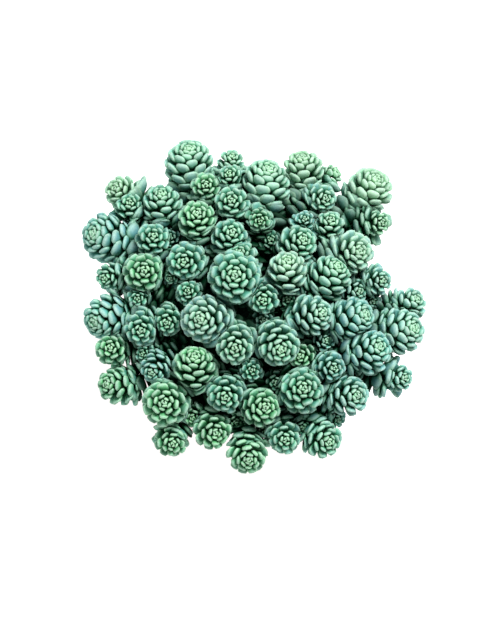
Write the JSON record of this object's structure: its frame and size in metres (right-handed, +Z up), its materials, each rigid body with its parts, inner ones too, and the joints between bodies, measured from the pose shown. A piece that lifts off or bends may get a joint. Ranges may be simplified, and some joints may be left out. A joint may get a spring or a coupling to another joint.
{
  "type": "potted stonecrop",
  "caption": "Thick-leaved stonecrop in a plain tapered clay pot: a low dome of plump blue-green leaf rosettes on short leafy stems.",
  "frame": {"origin": "centre of the flat underside of the pot", "axes": "+Z up along the pot's axis, +Y towards the top of the picture's view, +X to its right"},
  "size_m": [0.1382, 0.1356, 0.1136],
  "materials": {
    "terracotta": "matt unglazed fired clay",
    "soil": "loose dark potting soil with fine grit",
    "leaf_green": "fleshy leaf, powdery bloom",
    "leaf_mint": "fleshy leaf, powdery bloom",
    "leaf_blue": "fleshy leaf, powdery bloom"
  },
  "bodies": {
    "root": {"pot": "terracotta", "potting_soil": "soil", "leafy_shoot_01": "leaf_mint", "leafy_shoot_02": "leaf_green", "leafy_shoot_04": "leaf_mint", "leafy_shoot_05": "leaf_blue", "leafy_shoot_06": "leaf_mint", "leafy_shoot_07": "leaf_green", "leafy_shoot_09": "leaf_mint", "leafy_shoot_10": "leaf_green", "leafy_shoot_11": "leaf_mint", "leafy_shoot_12": "leaf_mint", "leafy_shoot_13": "leaf_green", "leafy_shoot_14": "leaf_mint", "leafy_shoot_15": "leaf_green", "leafy_shoot_17": "leaf_mint", "leafy_shoot_19": "leaf_mint", "leafy_shoot_20": "leaf_mint", "leafy_shoot_21": "leaf_green", "leafy_shoot_23": "leaf_mint", "leafy_shoot_24": "leaf_blue", "leafy_shoot_25": "leaf_mint", "leafy_shoot_26": "leaf_green", "leafy_shoot_27": "leaf_mint", "leafy_shoot_29": "leaf_mint", "leafy_shoot_30": "leaf_mint", "leafy_shoot_31": "leaf_blue", "leafy_shoot_32": "leaf_mint", "leafy_shoot_33": "leaf_mint", "leafy_shoot_34": "leaf_blue", "leafy_shoot_35": "leaf_green", "leafy_shoot_37": "leaf_blue", "leafy_shoot_38": "leaf_green", "leafy_shoot_39": "leaf_mint", "leafy_shoot_41": "leaf_mint", "leafy_shoot_42": "leaf_mint", "leafy_shoot_43": "leaf_mint", "leafy_shoot_44": "leaf_blue", "leafy_shoot_45": "leaf_blue", "leafy_shoot_47": "leaf_blue", "leafy_shoot_48": "leaf_blue", "leafy_shoot_49": "leaf_blue", "leafy_shoot_50": "leaf_blue", "leafy_shoot_51": "leaf_mint", "leafy_shoot_52": "leaf_mint", "leafy_shoot_53": "leaf_green", "leafy_shoot_54": "leaf_mint", "leafy_shoot_55": "leaf_green", "leafy_shoot_56": "leaf_green", "leafy_shoot_57": "leaf_green", "leafy_shoot_58": "leaf_mint", "leafy_shoot_59": "leaf_green", "leafy_shoot_60": "leaf_green", "leafy_shoot_61": "leaf_green", "leafy_shoot_62": "leaf_mint", "leafy_shoot_63": "leaf_mint", "leafy_shoot_64": "leaf_blue", "leafy_shoot_65": "leaf_mint"}
  },
  "joints": []
}
